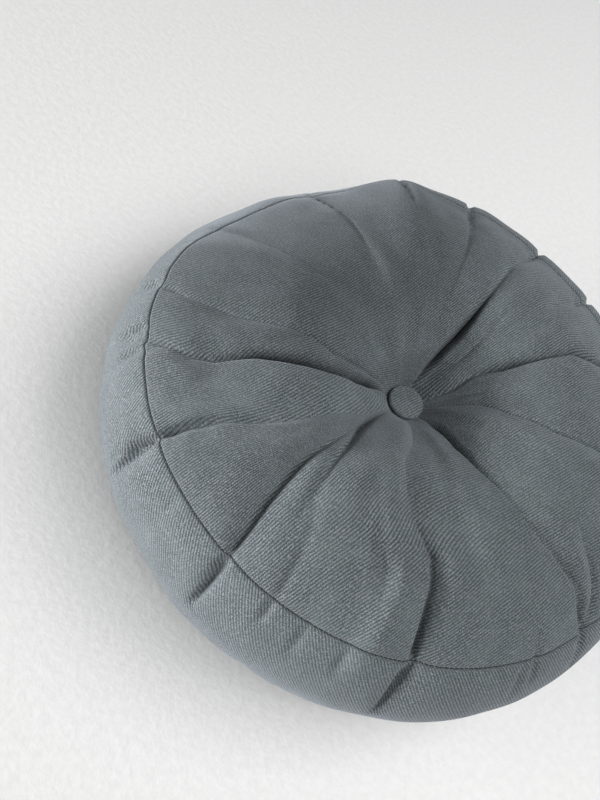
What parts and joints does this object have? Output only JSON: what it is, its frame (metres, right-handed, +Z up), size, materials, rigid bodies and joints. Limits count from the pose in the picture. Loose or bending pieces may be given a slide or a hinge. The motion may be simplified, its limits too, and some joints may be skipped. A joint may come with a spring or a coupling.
{
  "type": "round floor cushion",
  "caption": "Round boxed floor cushion in grey brushed twill, with a plain-seamed side band, radial pleats and a sunken covered button on each face.",
  "frame": {"origin": "on the axis, at the height of the flat lower face, with the cushion lying down", "axes": "+Z up along the axis through both buttons; the join of the side band faces +Y"},
  "size_m": [0.45, 0.4506, 0.1534],
  "materials": {
    "cover_twill": "brushed cotton twill, fine diagonal wale",
    "sewing_thread": "spun polyester sewing thread",
    "filling_fibre": "loose hollow polyester fibre",
    "tufting_cord": "waxed twine",
    "button_metal": "bright pressed sheet and drawn wire"
  },
  "bodies": {
    "cushion": {"top_panel": "cover_twill", "side_band": "cover_twill", "bottom_panel": "cover_twill", "filling": "filling_fibre", "top_seam_thread": "sewing_thread", "bottom_seam_thread": "sewing_thread", "closing_thread": "sewing_thread", "band_join_thread": "sewing_thread", "tufting_twine": "tufting_cord", "twine_knot": "tufting_cord"},
    "top_button": {"top_button_cloth": "cover_twill", "top_button_shell": "button_metal", "top_button_back": "button_metal", "top_button_loop": "button_metal"},
    "bottom_button": {"bottom_button_cloth": "cover_twill", "bottom_button_shell": "button_metal", "bottom_button_back": "button_metal", "bottom_button_loop": "button_metal"}
  },
  "joints": [
    {"name": "top_button_swivel", "type": "hinge", "parent": "cushion", "child": "top_button", "pos_m": [0, 0, 0.1013], "axis": [0, 0, 1], "range_deg": [-45, 45]},
    {"name": "bottom_button_swivel", "type": "hinge", "parent": "cushion", "child": "bottom_button", "pos_m": [0, 0, 0.0457], "axis": [0, 0, 1], "range_deg": [-45, 45]}
  ]
}
